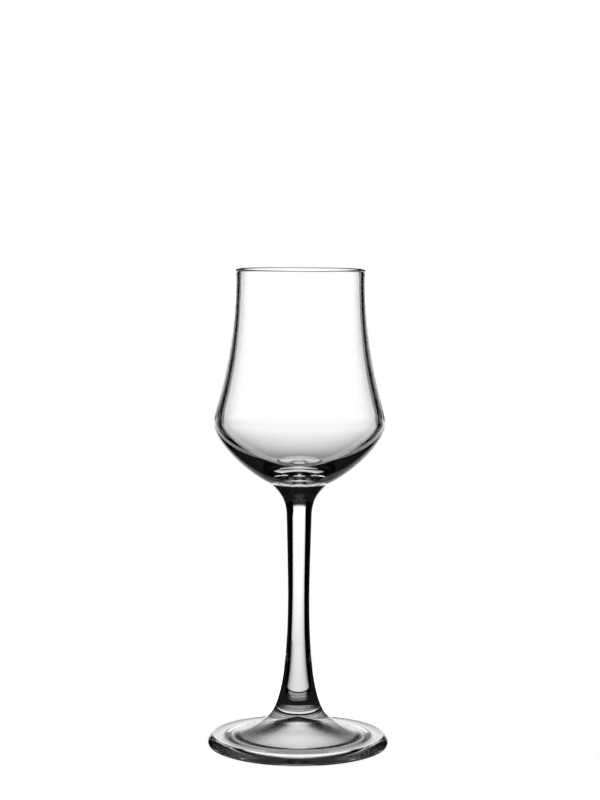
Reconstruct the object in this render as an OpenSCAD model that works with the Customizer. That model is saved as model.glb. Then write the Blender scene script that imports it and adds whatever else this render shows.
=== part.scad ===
// Grappa glass: a tulip bowl, a drawn stem and a hollow foot, fused glass to glass.
// Millimetres, Z up. The glass stands on Z = 0 and its axis is the Z axis.

/* [View] */
// Piece to draw

/* [Bowl] */
// Height of the bowl, from its seat on the stem up to the rim
bowl_h = 73.6; // [70:0.1:78]
// Outside diameter of the wall just under the lip
rim_d = 44.4; // [41:0.1:47]
// Outside diameter at the belly, the widest place
belly_d = 58.8; // [55:0.1:62]
// Height of the belly above the seat of the bowl
belly_rise = 21.3; // [19:0.1:24]
// Wall thickness under the lip
lip_wall = 1.5; // [0.9:0.1:1.8]
// Height of the fire-polished lip
lip_h = 2.7; // [2.2:0.1:5]
// How far the lip stands out from the wall
lip_flare = 0.05; // [0.05:0.05:0.4]
// Wall thickness at the belly
belly_wall = 2.45; // [1.8:0.05:3.2]
// How much higher the inside is widest than the outside
belly_shift = 0; // [0:0.1:3]
// Solid glass between the middle of the inner floor and the seat of the bowl
floor_t = 5.2; // [4.4:0.1:7]
// Diameter of the inner floor, where it turns up into the cup
floor_d = 14.4; // [12:0.1:18]
// Height of the edge of the inner floor above the seat of the bowl
floor_rise = 5; // [4.4:0.1:7]

/* [Stem] */
// Height of the stem, from the foot up to the bowl
stem_h = 81.6; // [76:0.1:88]
// Diameter of the fused seat between stem and bowl
bowl_seat_d = 19; // [16:0.1:21]
// Diameter of the neck, where the flare under the bowl begins
neck_d = 8.6; // [7.6:0.1:10]
// Drop from the seat of the bowl to the neck
neck_drop = 11.4; // [9:0.1:15]
// Diameter of the waist, the thinnest place
waist_d = 7.4; // [6.4:0.1:7.6]
// Height of the waist above the foot
waist_rise = 42.2; // [36:0.1:52]
// Diameter of the fused seat between stem and foot
foot_seat_d = 22.6; // [20:0.1:25]

/* [Foot] */
// Diameter of the foot
foot_d = 62.4; // [58:0.1:68]
// Height of the foot, from the table up to its seat under the stem
foot_h = 9.8; // [9.2:0.1:12]
// Thickness of the foot at its outer edge
edge_t = 4.1; // [3:0.1:4.6]
// Height of the widest place of the edge
edge_rise = 1.7; // [1.2:0.1:2.4]
// How far the edge leans in above its widest place
edge_round = 1.7; // [1:0.1:3]
// How far the edge curls under, down to the flat standing ring
heel_round = 2.2; // [1.6:0.1:3.4]
// Width of the flat standing ring
ring_w = 2.4; // [1:0.1:3]
// Width of the rising stretch between the standing ring and the hollow
rise_w = 6.8; // [5:0.1:9]
// Height of the underside at the edge of the hollow
hollow_lift = 1.4; // [1:0.1:2.4]
// Height of the hollow at the axis
hollow_h = 9.1; // [6:0.1:9.1]

/* [Hidden] */

// Clear, colourless glass
glass = [0.90, 0.92, 0.93, 0.5];

// Straight stretches in each smooth run of an outline
steps = 28;

// Heights of the two fused seats and of the rim
foot_top = foot_h;
bowl_base = foot_top + stem_h;
rim_z = bowl_base + bowl_h;

// Radii
rim_r = rim_d / 2;
belly_r = belly_d / 2;
bowl_seat_r = bowl_seat_d / 2;
neck_r = neck_d / 2;
waist_r = waist_d / 2;
foot_seat_r = foot_seat_d / 2;
foot_r = foot_d / 2;
floor_r = floor_d / 2;
ring_r = foot_r - heel_round - ring_w;
hollow_r = ring_r - rise_w;
lip_r = (lip_wall + lip_flare) / 2;

// Turning points of the outlines, each as radius and height
lip_foot = [rim_r, rim_z - lip_h];
lip_out = [rim_r + lip_flare, rim_z - lip_r];
lip_in = [rim_r - lip_wall, rim_z - lip_r];
belly_out = [belly_r, bowl_base + belly_rise];
belly_in = [belly_r - belly_wall, bowl_base + belly_rise + belly_shift];
floor_edge = [floor_r, bowl_base + floor_rise];
floor_mid = [0, bowl_base + floor_t];
bowl_seat = [bowl_seat_r, bowl_base];
neck = [neck_r, bowl_base - neck_drop];
waist = [waist_r, foot_top + waist_rise];
foot_seat = [foot_seat_r, foot_top];
edge_top = [foot_r - edge_round, edge_t];
edge_mid = [foot_r, edge_rise];
edge_low = [foot_r - heel_round, 0];
ring_in = [ring_r, 0];
hollow_edge = [hollow_r, hollow_lift];
hollow_top = [0, hollow_h];

// Reach of the two handles of each run, as shares of its width and its height
lip_reach = [[0, 0.5], [0, 0.5]];
wall_reach = [[0, 0.597], [0, 0.093]];
cup_reach = [[0, 0.378], [0.277, 0.09]];
inner_wall_reach = [[0, 0.65], [0, 0.112]];
inner_cup_reach = [[0, 0.37], [0.358, 0.04]];
flare_reach = [[0.5, 0.293], [0.037, 0.602]];
shank_reach = [[0.075, 0.1], [0, 0.27]];
skirt_reach = [[0, 0.947], [0.126, 0.021]];
shoulder_reach = [[0.435, 1.137], [0.22, 0.016]];
edge_reach = [[0.5, 0.2], [0, 0.3]];
heel_reach = [[0, 0.536], [0.756, 0]];
rise_reach = [[0.487, 0.033], [0.639, -0.678]];
hollow_reach = [[0.444, 0.13], [0.144, 0.033]];

// Handles of the inner floor at its edge and at its middle, as shares of its radius
floor_dip = [-0.76, -0.313];
floor_level = [0.238, 0];

function share(u, v) = [u.x * v.x, u.y * v.y];

function bezier(a, b, c, d, t) =
    pow(1 - t, 3) * a + 3 * t * pow(1 - t, 2) * b + 3 * t * t * (1 - t) * c + pow(t, 3) * d;

// Smooth curve from a to b with its handles at p and q, without its first point, so that curves join up
function curve(a, p, q, b) = [for (i = [1:steps]) bezier(a, p, q, b, i / steps)];

// The same curve with its handles given by their reach
function run(a, b, reach) = curve(a, a + share(reach[0], b - a), b - share(reach[1], b - a), b);

// The same reach for a run that is drawn from its other end
function turned(reach) = [reach[1], reach[0]];

// Half round over the lip, from outside to inside, without its first point
function lip_round() = [
    for (i = [1:steps])
        [lip_out.x - lip_r, lip_out.y] + lip_r * [cos(180 * i / steps), sin(180 * i / steps)]
];

bowl_outline = concat(
    [[0, bowl_base], bowl_seat],
    run(bowl_seat, belly_out, turned(cup_reach)),
    run(belly_out, lip_foot, turned(wall_reach)),
    run(lip_foot, lip_out, lip_reach),
    lip_round(),
    run(lip_in, belly_in, inner_wall_reach),
    run(belly_in, floor_edge, inner_cup_reach),
    curve(floor_edge, floor_edge + floor_r * floor_dip, floor_mid + floor_r * floor_level, floor_mid)
);

stem_outline = concat(
    [[0, foot_top], foot_seat],
    run(foot_seat, waist, turned(skirt_reach)),
    run(waist, neck, turned(shank_reach)),
    run(neck, bowl_seat, turned(flare_reach)),
    [[0, bowl_base]]
);

foot_outline = concat(
    [edge_low],
    run(edge_low, edge_mid, turned(heel_reach)),
    run(edge_mid, edge_top, turned(edge_reach)),
    run(edge_top, foot_seat, turned(shoulder_reach)),
    [[0, foot_top], hollow_top],
    run(hollow_top, hollow_edge, turned(hollow_reach)),
    run(hollow_edge, ring_in, turned(rise_reach))
);

// Tulip bowl with a fire-polished lip, a wall that thickens downwards and a solid base
module bowl() {
    color(glass)
        rotate_extrude($fn = 128)
            polygon(bowl_outline);
}

// Solid drawn stem: skirt over the foot, thin waist, neck and flare under the bowl
module stem() {
    color(glass)
        rotate_extrude($fn = 128)
            polygon(stem_outline);
}

// Foot with a sloping top, a rounded edge, a narrow flat standing ring and a hollow underneath
module foot() {
    color(glass)
        rotate_extrude($fn = 128)
            polygon(foot_outline);
}

bowl();
stem();
foot();
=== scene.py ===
# Clear grappa glass: a tulip bowl, a drawn stem and a hollow foot, fused glass to glass.
# Each piece is spun from its own outline. The glass stands in front of a white light wall.
import math

import bmesh
import bpy
from mathutils import Matrix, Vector
from mathutils.geometry import interpolate_bezier


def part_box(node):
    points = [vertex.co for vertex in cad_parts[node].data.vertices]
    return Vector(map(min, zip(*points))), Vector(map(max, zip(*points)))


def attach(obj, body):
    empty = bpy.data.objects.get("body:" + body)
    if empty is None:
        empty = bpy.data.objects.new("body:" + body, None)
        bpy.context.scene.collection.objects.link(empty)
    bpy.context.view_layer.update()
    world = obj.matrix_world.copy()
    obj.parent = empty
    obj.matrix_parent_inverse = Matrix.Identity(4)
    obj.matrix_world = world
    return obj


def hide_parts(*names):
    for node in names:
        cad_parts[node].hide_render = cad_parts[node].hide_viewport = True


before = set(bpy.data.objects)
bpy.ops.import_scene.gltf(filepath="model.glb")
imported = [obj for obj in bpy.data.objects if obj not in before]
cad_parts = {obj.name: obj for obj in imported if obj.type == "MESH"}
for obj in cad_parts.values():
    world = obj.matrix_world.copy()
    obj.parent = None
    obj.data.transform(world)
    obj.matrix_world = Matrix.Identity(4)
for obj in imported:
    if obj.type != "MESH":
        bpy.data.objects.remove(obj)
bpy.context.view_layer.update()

MM = 0.001

# Main sizes in millimetres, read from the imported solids
bowl_low, bowl_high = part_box("bowl")
stem_low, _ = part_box("stem")
_, foot_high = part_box("foot")
rim_z = bowl_high[2] / MM
bowl_base = bowl_low[2] / MM
belly_r = bowl_high[0] / MM
foot_r = foot_high[0] / MM
foot_top = stem_low[2] / MM

# Bowl, in millimetres
rim_r = 22.2
lip_wall = 1.5
lip_h = 2.7
lip_flare = 0.05
belly_rise = 21.3
belly_wall = 2.45
belly_shift = 0
floor_t = 5.2
floor_r = 7.2
floor_rise = 5

# Stem, in millimetres
bowl_seat_r = 9.5
neck_r = 4.3
neck_drop = 11.4
waist_r = 3.7
waist_rise = 42.2
foot_seat_r = 11.3

# Foot, in millimetres
edge_t = 4.1
edge_rise = 1.7
edge_round = 1.7
heel_round = 2.2
ring_w = 2.4
rise_w = 6.8
hollow_lift = 1.4
hollow_h = 9.1

# Reach of the satin in the hollow under the foot, in millimetres from the axis
satin_r = 23.7

# Turning points of the outlines, each as radius and height
lip_r = (lip_wall + lip_flare) / 2
lip_foot = (rim_r, rim_z - lip_h)
lip_out = (rim_r + lip_flare, rim_z - lip_r)
lip_in = (rim_r - lip_wall, rim_z - lip_r)
belly_out = (belly_r, bowl_base + belly_rise)
belly_in = (belly_r - belly_wall, bowl_base + belly_rise + belly_shift)
floor_edge = (floor_r, bowl_base + floor_rise)
floor_mid = (0, bowl_base + floor_t)
bowl_seat = (bowl_seat_r, bowl_base)
neck = (neck_r, bowl_base - neck_drop)
waist = (waist_r, foot_top + waist_rise)
foot_seat = (foot_seat_r, foot_top)
edge_top = (foot_r - edge_round, edge_t)
edge_mid = (foot_r, edge_rise)
edge_low = (foot_r - heel_round, 0)
ring_in = (edge_low[0] - ring_w, 0)
hollow_edge = (ring_in[0] - rise_w, hollow_lift)
hollow_top = (0, hollow_h)

# Reach of the two handles of each run, as shares of its width and its height
lip_reach = ((0, 0.5), (0, 0.5))
wall_reach = ((0, 0.597), (0, 0.093))
cup_reach = ((0, 0.378), (0.277, 0.09))
inner_wall_reach = ((0, 0.65), (0, 0.112))
inner_cup_reach = ((0, 0.37), (0.358, 0.04))
flare_reach = ((0.5, 0.293), (0.037, 0.602))
shank_reach = ((0.075, 0.1), (0, 0.27))
skirt_reach = ((0, 0.947), (0.126, 0.021))
shoulder_reach = ((0.435, 1.137), (0.22, 0.016))
edge_reach = ((0.5, 0.2), (0, 0.3))
heel_reach = ((0, 0.536), (0.756, 0))
rise_reach = ((0.487, 0.033), (0.639, -0.678))
hollow_reach = ((0.444, 0.13), (0.144, 0.033))

# Handles of the inner floor at its edge and at its middle
floor_dip = (floor_edge[0] - 0.76 * floor_r, floor_edge[1] - 0.313 * floor_r)
floor_level = (0.238 * floor_r, floor_mid[1])

# Straight stretches in the runs of an outline, and turning steps round the axis
RUN_STEPS = 40
LIP_STEPS = 8
LIP_ROUND_STEPS = 20
EDGE_STEPS = 14
RING_STEPS = 6
RISE_STEPS = 20
TURN_STEPS = 256


def curve(start, first, last, end, steps=RUN_STEPS):
    """Smooth curve of outline points from start to end with two handles, without its first point."""
    return [tuple(p) for p in interpolate_bezier(start, first, last, end, steps + 1)[1:]]


def run(start, end, reach, steps=RUN_STEPS):
    """The same curve with its handles given by their reach."""
    span = (end[0] - start[0], end[1] - start[1])
    first = (start[0] + reach[0][0] * span[0], start[1] + reach[0][1] * span[1])
    last = (end[0] - reach[1][0] * span[0], end[1] - reach[1][1] * span[1])
    return curve(start, first, last, end, steps)


def back(start, end, reach, steps=RUN_STEPS):
    """The same run drawn from its other end."""
    return run(start, end, (reach[1], reach[0]), steps)


def straight(start, end, steps):
    """Straight run, with its points closer together towards both ends."""
    eased = [(1 - math.cos(math.pi * i / steps)) / 2 for i in range(1, steps + 1)]
    return [(start[0] + t * (end[0] - start[0]), start[1] + t * (end[1] - start[1])) for t in eased]


def half_round(centre, radius, steps):
    """Half circle over the lip, from outside to inside, without its first point."""
    turns = [math.pi * i / steps for i in range(1, steps + 1)]
    return [(centre[0] + radius * math.cos(a), centre[1] + radius * math.sin(a)) for a in turns]


bowl_outline = [
    (0, bowl_base),
    bowl_seat,
    *back(bowl_seat, belly_out, cup_reach),
    *back(belly_out, lip_foot, wall_reach),
    *run(lip_foot, lip_out, lip_reach, LIP_STEPS),
    *half_round((lip_out[0] - lip_r, lip_out[1]), lip_r, LIP_ROUND_STEPS),
    *run(lip_in, belly_in, inner_wall_reach),
    *run(belly_in, floor_edge, inner_cup_reach),
    *curve(floor_edge, floor_dip, floor_level, floor_mid),
]

stem_outline = [
    (0, foot_top),
    foot_seat,
    *back(foot_seat, waist, skirt_reach),
    *back(waist, neck, shank_reach),
    *back(neck, bowl_seat, flare_reach),
    (0, bowl_base),
]

foot_outline = [
    (0, foot_top),
    foot_seat,
    *run(foot_seat, edge_top, shoulder_reach),
    *run(edge_top, edge_mid, edge_reach, EDGE_STEPS),
    *run(edge_mid, edge_low, heel_reach, EDGE_STEPS),
    *straight(edge_low, ring_in, RING_STEPS),
    *run(ring_in, hollow_edge, rise_reach, RISE_STEPS),
    *run(hollow_edge, hollow_top, hollow_reach),
]


def linear(hex_colour):
    """sRGB hex colour as the linear colour that a shader socket takes."""
    shares = [int(hex_colour[i:i + 2], 16) / 255 for i in (0, 2, 4)]
    return (*[s / 12.92 if s <= 0.04045 else ((s + 0.055) / 1.055) ** 2.4 for s in shares], 1)


def add(tree, kind, inputs=(), **settings):
    """Adds a node with its settings. An input takes a value, or a link from another node's output."""
    node = tree.nodes.new(kind)
    for name, setting in settings.items():
        setattr(node, name, setting)
    for socket, source in dict(inputs).items():
        if isinstance(source, bpy.types.NodeSocket):
            tree.links.new(source, node.inputs[socket])
        else:
            node.inputs[socket].default_value = source
    return node


def white_to_camera(tree, kind, shader):
    """Shader that the glass sees as given, and the camera as plain white of the named kind."""
    path = add(tree, "ShaderNodeLightPath")
    white = add(tree, kind, {"Color": linear("ffffff"), "Strength": 1.0})
    return add(
        tree, "ShaderNodeMixShader",
        {0: path.outputs["Is Camera Ray"], 1: shader.outputs[0], 2: white.outputs[0]},
    )


def new_material(name):
    """Material with an empty node tree."""
    material = bpy.data.materials.new(name)
    material.use_nodes = True
    material.node_tree.nodes.clear()
    return material, material.node_tree


def new_object(name, mesh, materials):
    """Object in the scene with the shape of a bmesh, which is used up."""
    data = bpy.data.meshes.new(name)
    mesh.to_mesh(data)
    mesh.free()
    for material in materials:
        data.materials.append(material)
    thing = bpy.data.objects.new(name, data)
    bpy.context.scene.collection.objects.link(thing)
    return thing


# Clear soda glass: how much it bends light, and the faint long waves in its surface, in millimetres
SODA_GLASS_IOR = 1.52
WAVE_LENGTH = 14
WAVE_HEIGHT = 0.006

# Roughness of glass polished by the flame, and of glass as it left the mould
POLISHED_ROUGHNESS = 0.0
MOULDED_ROUGHNESS = 0.23


def soda_glass(name, roughness):
    """Clear, colourless glass with the faint long waves that a drawn and turned hot surface keeps."""
    material, tree = new_material(name)
    place = add(tree, "ShaderNodeTexCoord")
    waves = add(
        tree, "ShaderNodeTexNoise",
        {
            "Vector": place.outputs["Object"],
            "Scale": 1 / (WAVE_LENGTH * MM),
            "Detail": 1.0,
            "Roughness": 0.4,
        },
    )
    ripple = add(
        tree, "ShaderNodeBump",
        {"Height": waves.outputs["Fac"], "Strength": 1.0, "Distance": WAVE_HEIGHT * MM},
    )
    body = add(
        tree, "ShaderNodeBsdfPrincipled",
        {
            "Base Color": linear("fefdfe"),
            "Roughness": roughness,
            "IOR": SODA_GLASS_IOR,
            "Transmission Weight": 1.0,
            "Normal": ripple.outputs["Normal"],
        },
    )
    add(tree, "ShaderNodeOutputMaterial", {"Surface": body.outputs["BSDF"]})
    return material


# Fire polished all over the outside and inside the bowl: mirror smooth, sharp black and white streaks
polished = soda_glass("fire_polished_soda_glass", POLISHED_ROUGHNESS)

# Hollow under the foot as it left the mould: a faint satin that softens what is seen through the foot
moulded = soda_glass("moulded_soda_glass", MOULDED_ROUGHNESS)

# Where two pieces are fused, glass meets glass and nothing shows
seam, tree = new_material("fused_glass_seam")
clear = add(tree, "ShaderNodeBsdfTransparent")
add(tree, "ShaderNodeOutputMaterial", {"Surface": clear.outputs["BSDF"]})

# The three materials of a piece, and the places of two of them in its list
GLASS = (polished, seam, moulded)
SEAM = GLASS.index(seam)
MOULDED = GLASS.index(moulded)

# Gap that joins two points, and gap to the height of a seat within which a face lies on it, in millimetres
MERGE_GAP = 0.0002
SEAT_GAP = 0.001


def turned_glass(name, outline, node):
    """Spins an outline into one closed piece, with the seam on its seats and the satin in the hollow."""
    mesh = bmesh.new()
    corners = [mesh.verts.new((r * MM, 0, z * MM)) for r, z in outline]
    sides = [mesh.edges.new(pair) for pair in zip(corners, corners[1:])]
    bmesh.ops.spin(
        mesh, geom=corners + sides, cent=(0, 0, 0), axis=(0, 0, 1), dvec=(0, 0, 0),
        angle=math.tau, steps=TURN_STEPS, use_merge=True,
    )
    bmesh.ops.remove_doubles(mesh, verts=mesh.verts, dist=MERGE_GAP * MM)
    bmesh.ops.recalc_face_normals(mesh, faces=mesh.faces)
    for face in mesh.faces:
        face.smooth = True
        heights = [v.co.z / MM for v in face.verts]
        reach = max(v.co.xy.length / MM for v in face.verts)
        if any(max(abs(h - seat) for h in heights) < SEAT_GAP for seat in (foot_top, bowl_base)):
            face.material_index = SEAM
        elif node == "foot" and face.normal.z < 0 and reach < satin_r:
            face.material_index = MOULDED
    for edge in mesh.edges:
        edge.smooth = len({face.material_index == SEAM for face in edge.link_faces}) == 1
    piece = new_object(name, mesh, GLASS)
    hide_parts(node)
    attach(piece, "root")


turned_glass("glass_bowl", bowl_outline, "bowl")
turned_glass("glass_stem", stem_outline, "stem")
turned_glass("glass_foot", foot_outline, "foot")

# Camera at the photograph's viewing angle: its place in millimetres, its tilt and its roll in degrees
CAMERA_PLACE = (0.07, -770, 186.5)
CAMERA_DOWN = 4.922
CAMERA_ROLL = 0.32
scene = bpy.context.scene
lens = bpy.data.cameras.new("portrait_lens")
lens.sensor_width = 36
lens.lens = 101.62
lens.clip_start = 0.01
camera = bpy.data.objects.new("portrait_camera", lens)
scene.collection.objects.link(camera)
scene.camera = camera
stand = Matrix.Translation([c * MM for c in CAMERA_PLACE])
tilt = Matrix.Rotation(math.radians(90 - CAMERA_DOWN), 4, "X")
roll = Matrix.Rotation(math.radians(CAMERA_ROLL), 4, "Z")
camera.matrix_world = stand @ tilt @ roll


def go_round(light):
    """Lets a light go round with the camera, as a photographer's does."""
    light.parent = camera
    light.matrix_parent_inverse = (stand @ tilt @ roll).inverted()


# White light wall behind the glass. It is widest and softest low down, and it fades towards the floor
# and towards the top. Past its sides is dark, which draws the black edges in the glass.
# Distance and size are in millimetres, and the side fall is the power by which it dims sideways.
WALL_DISTANCE = 1000
WALL_SIZE = 2400
WALL_PEAK = 1.45
WALL_SIDE_FALL = 4

# What changes on the wall between two heights: the heights in millimetres, its value at each and the
# kind of change
WALL_CHANGES = {
    "middle": (-250, 100, 42.5 * MM, -17.5 * MM, "LINEAR"),
    "half_width": (-250, 100, 487.5 * MM, 342.5 * MM, "LINEAR"),
    "side_loss": (-250, 100, 0.68, 0.27, "LINEAR"),
    "low_fade": (-610, 200, 0.28, 1.0, "SMOOTHSTEP"),
    "high_fade": (130, 350, 1.0, 0.02, "SMOOTHSTEP"),
}
lit, tree = new_material("white_light_wall")
place = add(tree, "ShaderNodeTexCoord")
axes = add(tree, "ShaderNodeSeparateXYZ", {"Vector": place.outputs["Object"]})
at_height = {}
for name, (low, high, start, end, kind) in WALL_CHANGES.items():
    span = {"Value": axes.outputs["Z"], "From Min": low * MM, "From Max": high * MM}
    change = add(
        tree, "ShaderNodeMapRange", {**span, "To Min": start, "To Max": end}, interpolation_type=kind,
    )
    at_height[name] = change.outputs["Result"]
shift = add(tree, "ShaderNodeMath", {0: axes.outputs["X"], 1: at_height["middle"]}, operation="SUBTRACT")
aside = add(tree, "ShaderNodeMath", {0: shift.outputs[0], 1: at_height["half_width"]}, operation="DIVIDE")
fall = add(tree, "ShaderNodeMath", {0: aside.outputs[0], 1: WALL_SIDE_FALL}, operation="POWER")
on_wall = add(tree, "ShaderNodeMath", {0: fall.outputs[0], 1: 1}, operation="LESS_THAN")
loss = add(tree, "ShaderNodeMath", {0: fall.outputs[0], 1: at_height["side_loss"]}, operation="MULTIPLY")
glow = add(tree, "ShaderNodeMath", {0: 1, 1: loss.outputs[0]}, operation="SUBTRACT")
for share in (on_wall.outputs[0], at_height["low_fade"], at_height["high_fade"], WALL_PEAK):
    glow = add(tree, "ShaderNodeMath", {0: glow.outputs[0], 1: share}, operation="MULTIPLY")
light = add(tree, "ShaderNodeEmission", {"Strength": glow.outputs[0]})
seen = white_to_camera(tree, "ShaderNodeEmission", light)
add(tree, "ShaderNodeOutputMaterial", {"Surface": seen.outputs[0]})

mesh = bmesh.new()
bmesh.ops.create_grid(mesh, x_segments=1, y_segments=1, size=WALL_SIZE / 2 * MM)
bmesh.ops.rotate(mesh, verts=mesh.verts, cent=(0, 0, 0), matrix=Matrix.Rotation(math.pi / 2, 3, "X"))
bmesh.ops.translate(mesh, verts=mesh.verts, vec=(0, WALL_DISTANCE * MM, 0))
wall = new_object("light_wall", mesh, [lit])
go_round(wall)

# How far the table lies under the standing ring, and its stretch of painted light just above it, in
# millimetres
TABLE_DROP = 0.2
PAINTED_LIGHT_DROP = 0.1

# Painted light: a glowing stretch of the table behind the foot. It is painted with the light that the wall
# would cast there, brighter further back and dimmer towards its sides. It fills the low end of the stem
# with light, and only the glass sees it.
# Each end has its distance behind the axis, half its width and its brightness.
near, near_half, near_level = 34.2 * MM, 18.9 * MM, 0.81
far, far_half, far_level = 130 * MM, 62.1 * MM, 0.92
PAINTED_LIGHT_SIDE_FALL = 2.8
painted_light_paper, tree = new_material("white_paper_painted_light")
place = add(tree, "ShaderNodeTexCoord")
axes = add(tree, "ShaderNodeSeparateXYZ", {"Vector": place.outputs["Object"]})
span = {"Value": axes.outputs["Y"], "From Min": near, "From Max": far}
half_width = add(tree, "ShaderNodeMapRange", {**span, "To Min": near_half, "To Max": far_half})
level = add(tree, "ShaderNodeMapRange", {**span, "To Min": near_level, "To Max": far_level})
shift = add(tree, "ShaderNodeMath", {0: axes.outputs["X"], 1: half_width.outputs[0]}, operation="DIVIDE")
aside = add(tree, "ShaderNodeMath", {0: shift.outputs[0]}, operation="ABSOLUTE")
fall = add(tree, "ShaderNodeMath", {0: aside.outputs[0], 1: PAINTED_LIGHT_SIDE_FALL}, operation="POWER")
across = add(tree, "ShaderNodeMath", {0: 1, 1: fall.outputs[0]}, operation="SUBTRACT")
glow = add(tree, "ShaderNodeMath", {0: across.outputs[0], 1: level.outputs[0]}, operation="MULTIPLY")
light = add(tree, "ShaderNodeEmission", {"Strength": glow.outputs[0]})
add(tree, "ShaderNodeOutputMaterial", {"Surface": light.outputs[0]})

# Card of painted light: it glows by itself, in place of the wall's light on the table
mesh = bmesh.new()
plan = ((-near_half, near), (near_half, near), (far_half, far), (-far_half, far))
mesh.faces.new([mesh.verts.new((x, y, -PAINTED_LIGHT_DROP * MM)) for x, y in plan])
painted_light_table = new_object("painted_light_table", mesh, [painted_light_paper])
painted_light_table.visible_camera = False
go_round(painted_light_table)

# World: white to the camera, near dark to the glass
WORLD_LEVEL = 0.009
world = bpy.data.worlds.new("studio")
scene.world = world
world.use_nodes = True
tree = world.node_tree
tree.nodes.clear()
dim = add(tree, "ShaderNodeBackground", {"Color": linear("ffffff"), "Strength": WORLD_LEVEL})
seen = white_to_camera(tree, "ShaderNodeBackground", dim)
add(tree, "ShaderNodeOutputWorld", {"Surface": seen.outputs[0]})

# Pale table under the glass; it takes the glass's faint shadow
TABLE_R = 600
TABLE_GLOW = 0.98
paper, tree = new_material("white_paper")
matt = add(tree, "ShaderNodeBsdfDiffuse", {"Color": linear("ffffff")})
bright = add(tree, "ShaderNodeEmission", {"Strength": TABLE_GLOW})
both = add(tree, "ShaderNodeAddShader", {0: matt.outputs[0], 1: bright.outputs[0]})
add(tree, "ShaderNodeOutputMaterial", {"Surface": both.outputs[0]})

mesh = bmesh.new()
bmesh.ops.create_circle(mesh, cap_ends=True, segments=128, radius=TABLE_R * MM)
bmesh.ops.translate(mesh, verts=mesh.verts, vec=(0, 0, -TABLE_DROP * MM))
table = new_object("table", mesh, [paper])
table.visible_transmission = False
table.visible_glossy = False

# Light has to pass many glass faces
scene.cycles.max_bounces = 32
scene.cycles.transmission_bounces = 32
scene.cycles.glossy_bounces = 16
scene.cycles.transparent_max_bounces = 32
scene.view_settings.view_transform = "Standard"
